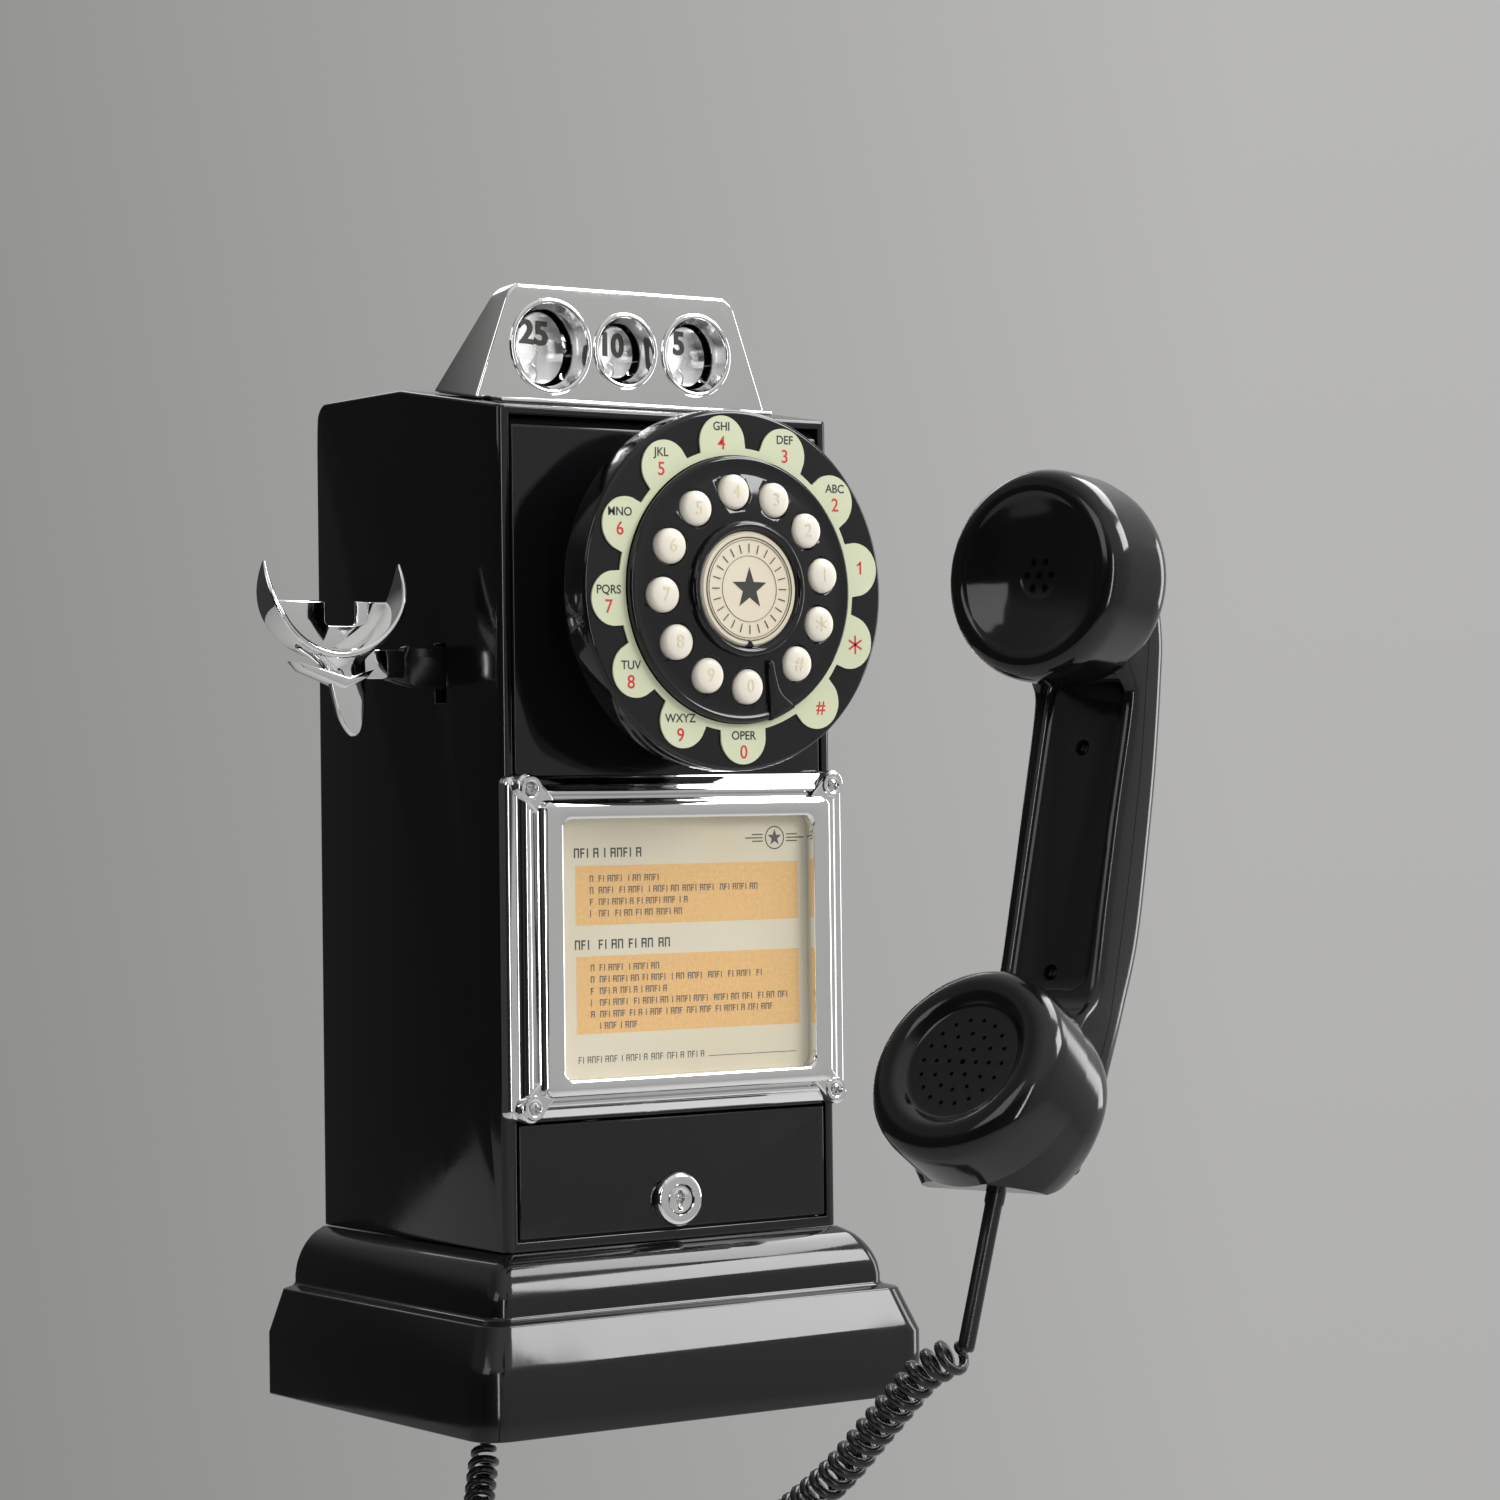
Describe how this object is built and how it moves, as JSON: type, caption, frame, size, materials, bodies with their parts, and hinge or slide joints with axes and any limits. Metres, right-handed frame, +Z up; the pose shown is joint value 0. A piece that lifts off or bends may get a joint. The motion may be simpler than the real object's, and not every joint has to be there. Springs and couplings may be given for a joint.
{
  "type": "payphone",
  "caption": "Wall payphone with a push-button dial, chrome coin head and card frame, a sprung side hook, and a handset held out on a curly cord.",
  "frame": {"origin": "middle of the back plate's rear face, where the phone is fixed to the wall", "axes": "+Z up, +Y into the wall, the dial faces -Y, the hook is on the -X side"},
  "size_m": [0.2813, 0.5599, 0.5393],
  "materials": {
    "gloss_black": "deep gloss black moulded plastic",
    "chrome": "bright chrome plating with soft waviness",
    "steel": "zinc-plated steel",
    "ivory": "ivory moulded plastic",
    "pale_green": "printed pale green plate",
    "card": "cream printed card",
    "clear": "clear moulded plastic",
    "grey_plastic": "dark grey moulded plastic",
    "board": "green circuit board",
    "cord": "black extruded vinyl",
    "brass": "plated spring wire",
    "mat": "silicone rubber"
  },
  "bodies": {
    "root": {"back_plate": "steel", "housing_shell": "gloss_black", "front_panel": "gloss_black", "base_moulding": "gloss_black", "coin_head": "chrome", "coin_gauge_25": "chrome", "coin_gauge_10": "chrome", "coin_gauge_5": "chrome", "coin_chute": "grey_plastic", "coin_box": "steel", "door_hinge_pin": "steel", "dial_neck": "gloss_black", "dial_disc": "gloss_black", "number_plate": "pale_green", "dial_dome": "gloss_black", "badge_ring": "gloss_black", "badge": "card", "finger_stop": "gloss_black", "keypad_mat": "mat", "keypad_board": "board", "card_frame": "chrome", "card": "card", "card_window": "clear", "frame_screw_1": "chrome", "frame_screw_2": "chrome", "frame_screw_3": "chrome", "frame_screw_4": "chrome", "hook_pin": "steel", "hook_spring": "brass", "main_board": "board", "ringer": "grey_plastic", "cord_jack": "grey_plastic", "phone_plug": "clear", "curly_cord": "cord"},
    "door": {"coin_door": "gloss_black", "lock_body": "chrome"},
    "lock": {"lock_plug": "steel", "lock_cam": "steel"},
    "hook": {"hook_arm": "gloss_black", "hook_cradle": "chrome"},
    "handset": {"handset_front": "gloss_black", "handset_back": "gloss_black", "ear_cap": "gloss_black", "mouth_cap": "gloss_black", "receiver_capsule": "grey_plastic", "microphone_capsule": "grey_plastic", "handset_plug": "clear", "handset_lead": "cord"},
    "key_4": {"button_4": "ivory"},
    "key_3": {"button_3": "ivory"},
    "key_2": {"button_2": "ivory"},
    "key_1": {"button_1": "ivory"},
    "key_star": {"button_star": "ivory"},
    "key_hash": {"button_hash": "ivory"},
    "key_0": {"button_0": "ivory"},
    "key_9": {"button_9": "ivory"},
    "key_8": {"button_8": "ivory"},
    "key_7": {"button_7": "ivory"},
    "key_6": {"button_6": "ivory"},
    "key_5": {"button_5": "ivory"}
  },
  "joints": [
    {"name": "handset_carry", "type": "slide", "parent": "root", "child": "handset", "axis": [-0.0908, 0.9959, 0], "range_m": [0, 0.355], "deforming": ["curly_cord"]},
    {"name": "door_hinge", "type": "hinge", "parent": "root", "child": "door", "pos_m": [0.0732, -0.1454, -0.132], "axis": [0, 0, 1], "range_deg": [0, 95]},
    {"name": "lock_turn", "type": "hinge", "parent": "door", "child": "lock", "pos_m": [0, -0.13, -0.143], "axis": [0, 1, 0], "range_deg": [0, 90]},
    {"name": "hook_lever", "type": "hinge", "parent": "root", "child": "hook", "pos_m": [-0.06, -0.1015, 0.0775], "axis": [0, -1, 0], "range_deg": [0, 7], "stiffness_Nm_per_rad": 0.5, "springref_deg": -25.78, "deforming": ["hook_spring"]},
    {"name": "press_4", "type": "slide", "parent": "root", "child": "key_4", "axis": [0, 1, 0], "range_m": [0, 0.002], "stiffness_N_per_m": 200, "springref_m": -0.0025},
    {"name": "press_3", "type": "slide", "parent": "root", "child": "key_3", "axis": [0, 1, 0], "range_m": [0, 0.002], "stiffness_N_per_m": 200, "springref_m": -0.0025},
    {"name": "press_2", "type": "slide", "parent": "root", "child": "key_2", "axis": [0, 1, 0], "range_m": [0, 0.002], "stiffness_N_per_m": 200, "springref_m": -0.0025},
    {"name": "press_1", "type": "slide", "parent": "root", "child": "key_1", "axis": [0, 1, 0], "range_m": [0, 0.002], "stiffness_N_per_m": 200, "springref_m": -0.0025},
    {"name": "press_star", "type": "slide", "parent": "root", "child": "key_star", "axis": [0, 1, 0], "range_m": [0, 0.002], "stiffness_N_per_m": 200, "springref_m": -0.0025},
    {"name": "press_hash", "type": "slide", "parent": "root", "child": "key_hash", "axis": [0, 1, 0], "range_m": [0, 0.002], "stiffness_N_per_m": 200, "springref_m": -0.0025},
    {"name": "press_0", "type": "slide", "parent": "root", "child": "key_0", "axis": [0, 1, 0], "range_m": [0, 0.002], "stiffness_N_per_m": 200, "springref_m": -0.0025},
    {"name": "press_9", "type": "slide", "parent": "root", "child": "key_9", "axis": [0, 1, 0], "range_m": [0, 0.002], "stiffness_N_per_m": 200, "springref_m": -0.0025},
    {"name": "press_8", "type": "slide", "parent": "root", "child": "key_8", "axis": [0, 1, 0], "range_m": [0, 0.002], "stiffness_N_per_m": 200, "springref_m": -0.0025},
    {"name": "press_7", "type": "slide", "parent": "root", "child": "key_7", "axis": [0, 1, 0], "range_m": [0, 0.002], "stiffness_N_per_m": 200, "springref_m": -0.0025},
    {"name": "press_6", "type": "slide", "parent": "root", "child": "key_6", "axis": [0, 1, 0], "range_m": [0, 0.002], "stiffness_N_per_m": 200, "springref_m": -0.0025},
    {"name": "press_5", "type": "slide", "parent": "root", "child": "key_5", "axis": [0, 1, 0], "range_m": [0, 0.002], "stiffness_N_per_m": 200, "springref_m": -0.0025}
  ]
}
